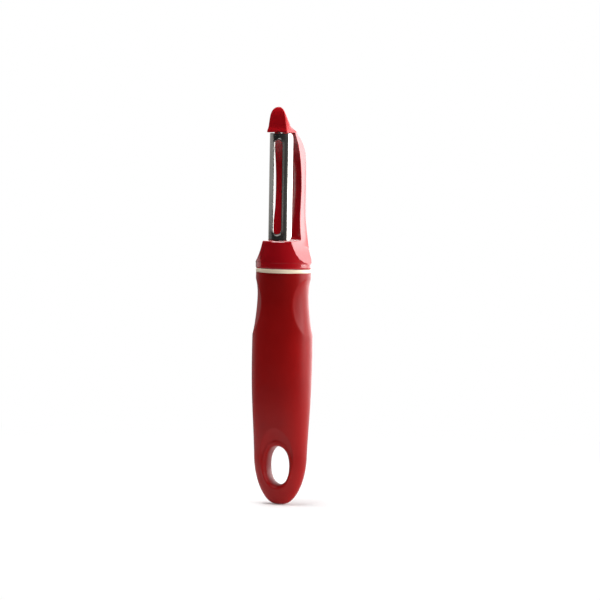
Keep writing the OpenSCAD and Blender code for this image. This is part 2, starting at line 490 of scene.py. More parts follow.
@dataclass(frozen=True)
class MouldedPlastic:
    """A moulded plastic: two close tones, a wide and a fine relief, and a gloss that varies a little.

    Fields:
        name: The material's name.
        deep: Its darker tone.
        bright: Its lighter tone.
        gloss: Lowest and highest roughness.
        grain: Repeats of the fine relief in a metre.
        grain_depth: Depth of the fine relief in millimetres.
        wave_depth: Depth of the wide relief in millimetres.
        coat: Weight of the clear skin of a polished moulding.
        sheen: Weight of the soft bloom of a rubbery skin.
        shine: Strength of its mirror-like reflection, 0.5 on a plain plastic.
    """

    name: str
    deep: Colour
    bright: Colour
    gloss: tuple[float, float]
    grain: float = 1800.0
    grain_depth: float = 0.01
    wave_depth: float = 0.02
    coat: float = 0.0
    sheen: float = 0.0
    shine: float = 0.5

    def make(self) -> bpy.types.Material:
        """Builds the material.

        Returns:
            The material.
        """
        graph = Graph(self.name)
        cloud = graph.noise(CLOUD_SCALE, 4)
        grain = graph.noise(self.grain, 2)
        graph.colours(cloud, self.deep, self.bright)
        graph.roughness(graph.noise(GLOSS_SCALE, 5), *self.gloss)
        graph.relief((graph.noise(WAVE_SCALE, 1), 0.25, self.wave_depth), (grain, 0.35, self.grain_depth))
        graph.set(Specular_IOR_Level=self.shine, Coat_Weight=self.coat, Coat_Roughness=0.04)
        graph.set(Sheen_Weight=self.sheen, Sheen_Roughness=0.45)
        return graph.material


@dataclass(frozen=True)
class Steel:
    """A bare steel with fine marks from its making.

    Fields:
        name: The material's name.
        deep: Its darker tone.
        bright: Its lighter tone.
        gloss: Lowest and highest roughness.
        turned: Whether the marks run round the Z axis, as on a pin, and not along it, as on rolled sheet.
    """

    name: str
    deep: Colour
    bright: Colour
    gloss: tuple[float, float]
    turned: bool = False

    def make(self) -> bpy.types.Material:
        """Builds the material.

        Returns:
            The material.
        """
        graph = Graph(self.name)
        marks = graph.rings(1600) if self.turned else graph.noise(2600, 3, (1.0, 1.0, 0.02))
        graph.colours(graph.noise(140, 4, (1.0, 1.0, 0.25)), self.deep, self.bright)
        graph.roughness(marks, *self.gloss)
        graph.relief((marks, 0.12, 0.01))
        graph.set(Metallic=1.0, Anisotropic=0.35)
        return graph.material


class Finishes:
    """One material for each finish of the tool, and a lit copy of the gloss red for the cap."""

    def __init__(self) -> None:
        """Makes them all."""
        self.soft_red = MouldedPlastic(
            "soft_red_skin", (0.27, 0.003, 0.003), (0.31, 0.004, 0.004), (0.32, 0.40),
            grain=2400, grain_depth=0.02, wave_depth=0.015, sheen=0.01, shine=0.17,
        ).make()
        self.gloss_red = MouldedPlastic(
            "gloss_red_moulding", (0.40, 0.003, 0.008), (0.46, 0.004, 0.010), (0.10, 0.16),
            grain=900, grain_depth=0.002, wave_depth=0.012, coat=0.5,
        ).make()
        # A lit copy of the head's gloss red for the cap, which is the same moulding: its lighter tone is
        # painted light, with a weaker reflection and no clear skin.
        self.lit_cap_red = MouldedPlastic(
            "gloss_red_cap_lit_copy", (0.47, 0.005, 0.010), (0.53, 0.006, 0.012), (0.16, 0.22),
            grain=900, grain_depth=0.002, wave_depth=0.012, coat=0.0, shine=0.14,
        ).make()
        self.cream = MouldedPlastic(
            "cream_moulding", (0.96, 0.80, 0.58), (0.98, 0.85, 0.66), (0.28, 0.36), grain_depth=0.004,
        ).make()
        self.core = MouldedPlastic(
            "core_moulding", (0.20, 0.006, 0.010), (0.26, 0.010, 0.014), (0.35, 0.5),
        ).make()
        self.acetal = MouldedPlastic(
            "black_acetal", (0.012, 0.012, 0.013), (0.02, 0.02, 0.022), (0.3, 0.42),
        ).make()
        self.blade = Steel("rolled_blade_steel", (0.46, 0.44, 0.41), (0.60, 0.58, 0.55), (0.16, 0.28)).make()
        self.pin = Steel(
            "turned_pin_steel", (0.50, 0.49, 0.48), (0.62, 0.61, 0.60), (0.2, 0.34), turned=True,
        ).make()


# ----- Handle -----


@dataclass
class Grip:
    """The handle's soft skin, with its hanging hole, the dish round it and a scoop in each side of its neck.

    Fields:
        foot, foot_hw, foot_hd: Height where the rounded end stops, and its half width and half depth there.
        end_over: How far the end's rounding would run on below the handle.
        end_fullness, end_taper: Power of the end's depth, and the share of depth that it loses towards the
            tip.
        squareness: Power of the section's superellipse.
        width, depth: Half width and half depth against height, above the foot.
        columns, rows: Angles in degrees of the cage's points, and heights of its rings.
        top: Height of the skin's top face.
        hole_hw, hole_hh, hole_z, hole_power: Half width, half height, middle and superellipse power of the
            hole.
        rim_hw, rim_hh, rim_round: Half sizes of the loop outside the hole, and how far the hole's rim is
            rounded.
        rim_keep, foot_keep: Shares of the rim loop, and heights, between which the exact shape takes over.
        wall_start: Depth under the skin where the hole's straight wall starts.
        dish_hw, dish_hh, dish_z: Half width, half height and middle of the dish round the hole.
        dish_depth, dish_bank: The dish's depth, and the share of its reach that slopes.
        scoop_z, scoop_below, scoop_above: Middle of the neck's scoops, and their reach down and up.
        scoop_turn, scoop_depth: The scoops' reach round the neck in degrees, and their depth.
        skin_share: Share of the half depth past which a point is skin, and not part of the top face.
        ring_shrink, cage_swell: How much smoothing shrinks a loop, and what the cage's width and depth gain
            for it.
        levels: Levels of subdivision.
    """

    foot: float = 26.0
    foot_hw: float = 14.3
    foot_hd: float = 7.0
    squareness: float = 2.2
    end_over: float = 0.7
    end_fullness: float = 0.8
    end_taper: float = 0.1
    width: Course = Course((
        (26.0, 14.3, 0.02), (50.0, 15.3, 0.05), (76.0, 15.95, 0.0),
        (93.5, 15.75, -0.04), (106.5, 14.85, -0.06), (120.0, 14.3, -0.03),
    ))
    depth: Course = Course((
        (26.0, 7.0, 0.16), (50.0, 10.4, 0.09), (72.0, 11.3, 0.0), (104.0, 10.4, 0.0), (120.0, 11.1, 0.05),
    ))
    columns: tuple[float, ...] = (-90, -46, -22, 0, 22, 46, 90, 134, 158, 180, 202, 226)
    rows: tuple[float, ...] = (
        1.2, 3.6, 7.5, 16.0, 25.4, 34.0, 42.0, 52.0, 62.0, 72.0, 82.0, 93.0, 104.0, 113.0, 119.0,
    )
    top: float = 119.95
    hole_hw: float = 5.75
    hole_hh: float = 9.75
    hole_z: float = 20.3
    rim_hw: float = 8.9
    rim_hh: float = 13.6
    rim_round: float = 1.3
    rim_keep: tuple[float, float] = (0.86, 1.06)
    foot_keep: tuple[float, float] = (0.5, 2.5)
    wall_start: float = 2.5
    dish_hw: float = 9.2
    dish_hh: float = 15.6
    dish_z: float = 24.6
    dish_depth: float = 1.9
    dish_bank: float = 0.42
    scoop_z: float = 104.5
    scoop_below: float = 17.5
    scoop_above: float = 13.5
    scoop_turn: float = 46.0
    scoop_depth: float = 1.4
    hole_power: float = 2.3
    skin_share: float = 0.8
    ring_shrink: float = 0.936
    cage_swell: tuple[float, float] = (1.03, 1.07)
    levels: int = 4

    def half_width(self, z: float) -> float:
        """Half width of the handle at a height."""
        return self.width.at(z) if z >= self.foot else self.foot_hw * self.end_round(z)

    def half_depth(self, z: float) -> float:
        """Half depth of the handle at a height.

        Args:
            z: The height.

        Returns:
            The half depth there.
        """
        if z >= self.foot:
            return self.depth.at(z)
        taper = 1 - self.end_taper + self.end_taper * z / self.foot
        return self.foot_hd * self.end_round(z) ** self.end_fullness * taper

    def end_round(self, z: float) -> float:
        """How full the handle's rounded end is at a height, from 0 to 1."""
        return math.sqrt(max(1e-4, 1 - ((self.foot - z) / (self.foot + self.end_over)) ** 2))

    def ring(self, z: float, share: float = 1.0) -> Ring:
        """A ring of the cage round the handle.

        Args:
            z: Its height.
            share: How full it is.

        Returns:
            One point for each column.
        """
        power = 2 / self.squareness
        points = []
        for column in self.columns:
            c, s = math.cos(math.radians(column)), math.sin(math.radians(column))
            x = signed_power(c, power) * self.half_width(z) * self.cage_swell[0] * share
            y = signed_power(s, power) * self.half_depth(z) * self.cage_swell[1] * share
            points.append(Vector((x, y, z)))
        return points

    def oval_point(self, vert: bmesh.types.BMVert, turn: float, hw: float, hh: float) -> None:
        """Moves a vertex of the cage onto an oval round the hole, and keeps it on the skin.

        Args:
            vert: The vertex.
            turn: Its angle round the hole, in radians from the +X side.
            hw: The oval's half width.
            hh: The oval's half height.
        """
        c, s = math.cos(turn), math.sin(turn)
        x = hw * signed_power(c, 2 / self.hole_power)
        z = self.hole_z + hh * signed_power(s, 2 / self.hole_power)
        side = math.copysign(1.0, vert.co.y)
        power = self.squareness
        full = 1 - abs(x / (self.half_width(z) * self.cage_swell[0])) ** power
        y = self.half_depth(z) * self.cage_swell[1] * max(0.05, full) ** (1 / power)
        vert.co = Vector((x, side * y, z))

    def rim(self, bm: bmesh.types.BMesh, side: float) -> list[bmesh.types.BMEdge]:
        """Opens one face of the cage at the hole.

        Args:
            bm: The cage.
            side: -1 for the front, 1 for the back.

        Returns:
            The edges of the loop that the wall of the hole starts from.
        """
        low, high = self.rows[2], self.rows[5]
        region = [
            face for face in bm.faces
            if side * face.calc_center_median().y > 0
            and low < face.calc_center_median().z < high
            and all(abs(vert.co.x) < self.half_width(self.foot) * 0.8 for vert in face.verts)
        ]
        mouth = (self.hole_hw + self.rim_round, self.hole_hh + self.rim_round)
        for hw, hh in ((self.rim_hw, self.rim_hh), mouth):
            bmesh.ops.inset_region(bm, faces=region, thickness=0.8)
            border = [
                edge for face in region for edge in face.edges
                if sum(near in region for near in edge.link_faces) == 1
            ]
            loop = list({vert for edge in border for vert in edge.verts})
            loop.sort(key=lambda vert: math.atan2(vert.co.z - self.hole_z, vert.co.x))
            step = math.tau / len(loop)
            top = max(range(len(loop)), key=lambda k: loop[k].co.z - abs(loop[k].co.x))
            for k, vert in enumerate(loop):
                turn = math.pi / 2 + (k - top) * step
                self.oval_point(vert, turn, hw / self.ring_shrink, hh / self.ring_shrink)
        bmesh.ops.delete(bm, geom=region, context="FACES")
        border = [edge for edge in border if edge.is_valid]
        wall = bmesh.ops.extrude_edge_only(bm, edges=border)["geom"]
        verts = [item for item in wall if isinstance(item, bmesh.types.BMVert)]
        for vert in verts:
            vert.co.x *= self.hole_hw / mouth[0]
            vert.co.z = self.hole_z + (vert.co.z - self.hole_z) * self.hole_hh / mouth[1]
        bmesh.ops.translate(bm, verts=verts, vec=(0.0, -side * self.wall_start, 0.0))
        return [item for item in wall if isinstance(item, bmesh.types.BMEdge) and item.is_boundary]

    def cage(self) -> bmesh.types.BMesh:
        """The whole cage: rings up the handle, then the hole through it.

        Returns:
            The cage.
        """
        loft = Loft(self.ring(0.0, 0.9))
        for z in self.rows:
            loft.grow(self.ring(z))
        loft.grow(self.ring(self.top)).hold_ring(Crease.EASED)
        bm = loft.close()
        front, back = self.rim(bm, -1.0), self.rim(bm, 1.0)
        bmesh.ops.bridge_loops(bm, edges=front + back)
        bmesh.ops.recalc_face_normals(bm, faces=bm.faces)
        return bm

    def dish(self, x: float, z: float) -> float:
        """How deep the dish round the hole is at a place on the face.

        Args:
            x: Distance from the mirror plane.
            z: Height.

        Returns:
            The depth there, 0 outside the dish.
        """
        out = math.hypot(x / self.dish_hw, (z - self.dish_z) / self.dish_hh)
        slope = clamp((1.0 - out) / self.dish_bank)
        return self.dish_depth * slope * (1.3 - 0.3 * slope)

    def scoop(self, x: float, y: float, z: float) -> float:
        """How deep the scoop in the side of the neck is at a place on the skin.

        Args:
            x: Distance from the mirror plane.
            y: Distance from the handle's middle plane.
            z: Height.

        Returns:
            The depth there, 0 outside the scoop.
        """
        reach = self.scoop_above if z > self.scoop_z else self.scoop_below
        turn = math.degrees(math.atan2(abs(y), abs(x)))
        out = math.hypot(turn / self.scoop_turn, (z - self.scoop_z) / reach)
        return self.scoop_depth * (1 - clamp(out) ** 3)

    def settle(self, bm: bmesh.types.BMesh) -> None:
        """Brings the smooth surface onto the handle's exact shape, and sinks the dish and the scoops into it.

        Args:
            bm: The smooth surface.
        """
        power = self.squareness
        for vert in bm.verts:
            x, y, z = vert.co
            hw, hd = self.half_width(z), self.half_depth(z)
            out = math.hypot(x / self.rim_hw, (z - self.hole_z) / self.rim_hh)
            keep = ease(*self.rim_keep, out) * ease(*self.foot_keep, z)
            full = (abs(x / hw) ** power + abs(y / hd) ** power) ** (1 / power)
            scale = blend(1.0, 1.0 / full, keep)
            x, y = x * scale, y * scale
            skin = hd * max(0.02, 1 - min(1.0, abs(x / hw)) ** power) ** (1 / power)
            y -= math.copysign(self.dish(x, z) * min(1.0, abs(y) / skin), y)
            radius = math.hypot(x, y)
            on_skin = radius > self.skin_share * hd
            sink = 1 - self.scoop(x, y, z) / max(radius, 1.0) if on_skin else 1.0
            vert.co = Vector((x * sink, y * sink, min(z, self.top)))

    def build(self, finishes: Finishes) -> None:
        """Makes the skin and dresses it.

        Args:
            finishes: The tool's materials.
        """
        bm = smoothed(self.cage(), lambda obj: subdivide(obj, self.levels))
        self.settle(bm)
        publish(bm, "soft_skin", Body.FRAME, Slot.SOFT_GRIP, finishes.soft_red, ("grip_sleeve",))


@dataclass
class Collar:
    """The cream ring between the handle and the head, a little rounded on its edges.

    Fields:
        plan: The ring in plan.
        low, high: Heights of its two faces.
        edge: Radius of its edges.
        count: Points round it.
    """

    plan: Oval = Oval(14.6, 11.7, 9.25)
    low: float = 120.02
    high: float = 121.98
    edge: float = 0.3
    count: int = 96

    def build(self, finishes: Finishes) -> None:
        """Makes the ring and dresses it.

        Args:
            finishes: The tool's materials.
        """
        steps = [(math.sin(a), 1 - math.cos(a)) for a in (k * math.pi / 8 for k in range(5))]
        loft = Loft(self.plan.inset(2 * self.edge).ring(self.low, self.count))
        for along, up in steps:
            loft.grow(self.plan.inset(self.edge * (1 - along)).ring(self.low + self.edge * up, self.count))
        for along, up in reversed(steps):
            loft.grow(self.plan.inset(self.edge * (1 - along)).ring(self.high - self.edge * up, self.count))
        loft.grow(self.plan.inset(2 * self.edge).ring(self.high, self.count))
        publish(loft.close(), "cream_ring", Body.FRAME, Slot.CREAM, finishes.cream, ("collar_ring",))


# ----- Head -----


FRONT_SHARES = (-1.0, -0.72, -0.36, 0.0, 0.36, 0.72, 1.0)
"""Where the points of a front or back face lie, as shares of its half width."""
SIDE_SHARES = (0.22, 0.5, 0.78)
"""Where the points of a side face lie, as shares of the way from its front corner to its back one."""
CORNERS = (0, 6, 10, 16)
"""The points of a ring at its four corners."""


def boxed_ring(
    front: Callable[[float], Vector],
    back: Callable[[float], Vector],
    side: Callable[[float, Vector, Vector], Vector],
) -> Ring:
    """A ring of four faces, with a point at each corner.

    Args:
        front: Point on the front face at a share of its half width, from -1 to 1.
        back: The same for the back face.
        side: Point on a side face at a share of the way between a front and a back corner.

    Returns:
        The ring's points: across the front, along the +X side, across the back and along the -X side.
    """
    points = [front(share) for share in FRONT_SHARES]
    points += [side(share, front(1.0), back(1.0)) for share in SIDE_SHARES]
    points += [back(-share) for share in FRONT_SHARES]
    points += [side(1 - share, front(-1.0), back(-1.0)) for share in SIDE_SHARES]
    return points


@dataclass
class Head:
    """The gloss head: a flared base over the ring, and one arm behind the blade.

    Fields:
        plan: The base in plan.
        flare: Half width of the front plane's outline against height.
        draft: How fast each side opens out towards the back.
        draft_y: Depth of the front plane.
        arm: (front y, front z, back y, back z) of the rings from the ledge up the arm.
        seat: (height, inset) of the rings from the underside up to the flare.
        base: (front z, back z) of the rings up the flare.
        pinch, pinch_span: How much the arm's top narrows on each side, and the heights where that starts
            and ends.
        corner_share: The widest a corner may be, as a share of the base's half width.
        ledge_inset: How far the ledge's front stays inside the base.
        rise: How tightly the corners are held on each ring of the flare; the last goes on to the rest.
        levels: Levels of live subdivision.
    """

    plan: Oval = Oval(14.98, 12.05, 9.65)
    flare: tuple[tuple[float, float], ...] = ((15.0, 124.2), (9.5, 127.0), (7.0, 136.5), (5.5, 150.0))
    draft: float = math.tan(math.radians(5.5))
    draft_y: float = -11.5
    pinch: float = 0.8
    pinch_span: tuple[float, float] = (183.0, 193.5)
    corner_share: float = 0.985
    ledge_inset: float = 0.35
    seat: tuple[tuple[float, float], ...] = ((122.02, 0.6), (122.05, 0.3), (122.6, 0.0), (123.6, 0.0))
    base: tuple[tuple[float, float], ...] = (
        (124.7, 124.6), (125.6, 125.3), (127.2, 126.6), (129.6, 128.3), (132.6, 130.2), (135.1, 131.6),
        (135.9, 132.3),
    )
    arm: tuple[tuple[float, float, float, float], ...] = (
        (-11.4, 136.4, 12.0, 133.0), (-10.7, 136.42, 12.0, 133.6), (-6.0, 136.4, 12.0, 134.8),
        (-1.2, 136.4, 12.0, 136.4), (0.9, 136.75, 12.0, 137.8), (1.8, 138.4, 12.0, 139.8),
        (2.3, 141.2, 12.0, 142.6), (3.5, 147.0, 12.0, 148.0), (4.7, 154.0, 12.0, 155.0),
        (5.35, 162.0, 12.0, 162.5), (5.1, 170.0, 11.9, 169.5), (4.0, 176.6, 11.2, 175.8),
        (2.5, 182.0, 9.7, 181.2), (1.0, 186.4, 7.3, 185.6),
        (-0.4, 189.4, 4.2, 188.8), (-1.2, 191.4, 1.2, 191.0), (-1.4, 193.0, -0.4, 193.0),
    )
    rise: tuple[Crease, ...] = (Crease.SOFT, Crease.EASED, Crease.FIRM)
    levels: int = 3

    def edge(self, z: float) -> float:
        """Half width of the front plane's outline at a height.

        Args:
            z: The height.

        Returns:
            The half width, from the flare's curve or, above it, from the arm's own course.
        """
        top = self.flare[-1]
        if z >= top[1]:
            return top[0] - self.pinch * ease(*self.pinch_span, z)
        low, high = 0.0, 1.0
        for _ in range(30):
            t = (low + high) / 2
            share = ((1 - t) ** 3, 3 * (1 - t) ** 2 * t, 3 * (1 - t) * t * t, t**3)
            x, at = (sum(s * point[k] for s, point in zip(share, self.flare)) for k in (0, 1))
            low, high = (t, high) if at < z else (low, t)
        return x

    def half_width(self, y: float, z: float) -> float:
        """Half width of the head at a depth and height, between its two side faces."""
        return self.edge(z) + (y - self.draft_y) * self.draft

    def corner(self, z: float, side: float, plan: Oval) -> float:
        """Half width at the corner where a side face meets the oval.

        Args:
            z: Height.
            side: -1 for the front corner, 1 for the back one.
            plan: The oval.

        Returns:
            The half width there.
        """
        x = min(self.edge(z), plan.half_x)
        for _ in range(12):
            x = min(self.half_width(side * plan.depth_at(x), z), plan.half_x * self.corner_share)
        return x

    def flank(self, plan: Oval, share: float, a: Vector, b: Vector) -> Vector:
        """A point on a side face, held inside an oval.

        Args:
            plan: The oval.
            share: How far it lies from the first corner to the second.
            a: The first corner.
            b: The second corner.

        Returns:
            The point.
        """
        y, z = blend(a.y, b.y, share), blend(a.z, b.z, share)
        x = min(self.half_width(y, z), self.widest(plan, y))
        return Vector((math.copysign(x, a.x), y, z))

    def base_ring(self, front_z: float, back_z: float, plan: Oval) -> Ring:
        """A ring round the base, whose back may lie lower than its front.

        Args:
            front_z: Height of its front.
            back_z: Height of its back.
            plan: The base in plan there.

        Returns:
            The ring's points.
        """
        front_hw = self.corner(front_z, -1.0, plan)
        back_hw = self.corner(back_z, 1.0, plan)

        def face(hw: float, side: float, z: float, share: float) -> Vector:
            """A point on the front or the back of the oval, with even steps round its ends."""
            x = plan.half_x * math.sin(share * math.asin(min(1.0, hw / plan.half_x)))
            return Vector((x, side * plan.depth_at(x), z))

        front, back = partial(face, front_hw, -1.0, front_z), partial(face, back_hw, 1.0, back_z)
        return boxed_ring(front, back, partial(self.flank, plan))

    @staticmethod
    def widest(plan: Oval, y: float) -> float:
        """Half width of an oval at a depth.

        Args:
            plan: The oval.
            y: The depth.

        Returns:
            The half width there.
        """
        low, high = 0.0, plan.half_x
        for _ in range(24):
            middle = (low + high) / 2
            low, high = (middle, high) if plan.depth_at(middle) > abs(y) else (low, middle)
        return low

    def arm_ring(self, front_y: float, front_z: float, back_y: float, back_z: float) -> Ring:
        """A ring of the ledge or the arm, with a flat front and a back that keeps to the base's oval.

        Args:
            front_y: Depth of its front.
            front_z: Height of its front.
            back_y: Depth of its back.
            back_z: Height of its back.

        Returns:
            The ring's points.
        """
        front_hw = self.half_width(front_y, front_z)
        back_hw = self.half_width(back_y, back_z)

        def back(share: float) -> Vector:
            """A point on the rounded back."""
            x = share * back_hw
            return Vector((x, min(back_y, self.plan.depth_at(x)), back_z))

        def front(share: float) -> Vector:
            """A point on the flat front, held inside the base's oval over the ledge."""
            x = share * front_hw
            return Vector((x, max(front_y, self.ledge_inset - self.plan.depth_at(x)), front_z))

        return boxed_ring(front, back, partial(self.flank, self.plan))

    def cage(self) -> bmesh.types.BMesh:
        """The cage, from the ring's top up the base, over the ledge and up the arm.

        Returns:
            The cage.
        """
        underside, lowest, *wall = [self.base_ring(z, z, self.plan.inset(inset)) for z, inset in self.seat]
        loft = Loft(underside)
        loft.grow(lowest).hold_ring(Crease.EASED)
        for ring in wall:
            loft.grow(ring)
        for k, (front_z, back_z) in enumerate(self.base):
            loft.grow(
                self.base_ring(front_z, back_z, self.plan), CORNERS, self.rise[min(k, len(self.rise) - 1)]
            )
        for station in self.arm:
            loft.grow(self.arm_ring(*station), CORNERS, Crease.FIRM)
        return loft.close()

    def build(self, finishes: Finishes) -> None:
        """Makes the head and dresses it.

        Args:
            finishes: The tool's materials.
        """
        publish(
            self.cage(), "gloss_head", Body.FRAME, Slot.GLOSS, finishes.gloss_red, ("head_frame",),
            levels=self.levels,
        )


@dataclass
class TipCap:
    """The cap over the blade's upper end, with a straight rear slope, a thin domed tip and a small lip.

    Fields:
        stations: (height, half width in front, front y, back y) of the rings, from the lip up.
        draft: How fast each side opens out towards the back.
        notch, notch_reach: Height of the notch in the lip's middle, and how far up it fades out.
        rounding_span: Heights between which the back goes from square to round.
        back_share: Width of the rounded back as a share of the square one.
        corner_pull: How far the back's corners are drawn forward, as a share of the depth.
        bulge, bulge_reach: How much a side bulges for its depth, and the greatest depth that counts.
        underside_inset: How far the underside stays inside the lip.
        held: The first ring whose front corners are no longer held.
        levels: Levels of live subdivision.
    """

    stations: tuple[tuple[float, float, float, float], ...] = (
        (191.92, 5.35, -12.35, 0.7), (192.4, 5.5, -12.5, 0.4), (193.3, 5.3, -12.35, -0.7),
        (194.3, 5.0, -12.06, -1.8), (195.6, 4.76, -12.0, -3.2), (197.4, 4.52, -12.0, -5.2),
        (199.2, 4.25, -12.0, -7.1), (200.6, 4.0, -11.97, -8.5), (201.8, 3.68, -11.88, -9.35),
        (203.0, 3.15, -11.66, -9.8), (204.0, 2.4, -11.32, -9.98), (204.7, 1.45, -10.95, -10.08),
        (205.0, 0.6, -10.6, -10.2),
    )
    draft: float = 0.07
    notch: float = 1.3
    notch_reach: float = 1.6
    rounding_span: tuple[float, float] = (192.0, 196.0)
    back_share: float = 0.76
    corner_pull: float = 0.14
    bulge: float = 0.09
    bulge_reach: float = 7.0
    underside_inset: float = 0.5
    held: int = 11
    levels: int = 3

    def ring(self, z: float, hw: float, front_y: float, back_y: float) -> Ring:
        """One ring of the cap, with the notch in the middle of its lowest front edge.

        Args:
            z: Its height.
            hw: Its half width in front.
            front_y: Depth of its front.
            back_y: Depth of its back.

        Returns:
            The ring's points.
        """
        wide = hw + (back_y - front_y) * self.draft
        rounding = ease(*self.rounding_span, z)
        narrow = 1 - (1 - self.back_share) * rounding
        lift = self.notch * ease(self.notch_reach, 0.0, z - self.stations[0][0])

        def front(share: float) -> Vector:
            """A point on the front face."""
            return Vector((share * hw, front_y, z + (lift if abs(share) < 0.1 else 0.0)))

        deep = back_y - front_y

        def back(share: float) -> Vector:
            """A point on the back, which rounds off into the sides."""
            return Vector((share * wide * narrow, back_y - rounding * deep * self.corner_pull * share**4, z))

        def flank(share: float, a: Vector, b: Vector) -> Vector:
            """A point on a side face, which bulges towards the back.

            Args:
                share: How far it lies from the first corner to the second.
                a: The first corner.
                b: The second corner.

            Returns:
                The point.
            """
            swell = rounding * self.bulge * min(deep, self.bulge_reach) * math.sin(math.pi * share)
            x = blend(hw, wide, share) * (1 - (1 - narrow) * share**3) + swell
            return Vector((math.copysign(x, a.x), blend(a.y, b.y, share), z))

        return boxed_ring(front, back, flank)

    def cage(self) -> bmesh.types.BMesh:
        """The cage, from the underside to the tip.

        Returns:
            The cage.
        """
        z, hw, front_y, back_y = self.stations[0]
        inset = self.underside_inset
        loft = Loft(self.ring(z, hw - inset, front_y + inset, back_y - inset))
        for k, station in enumerate(self.stations):
            loft.grow(self.ring(*station), CORNERS[:2], Crease.FIRM if 0 < k < self.held else Crease.SOFT)
            if k == 0:
                loft.hold_ring(Crease.EASED)
        return loft.close()

    def build(self, finishes: Finishes) -> None:
        """Makes the cap and dresses it.

        Args:
            finishes: The tool's materials.
        """
        publish(
            # The cap wears the lit copy of the head's gloss red, whose lighter tone is painted light.
            self.cage(), "gloss_tip_cap", Body.FRAME, Slot.GLOSS, finishes.lit_cap_red, ("tip_cap",),
            levels=self.levels,
        )


# ----- Blade -----


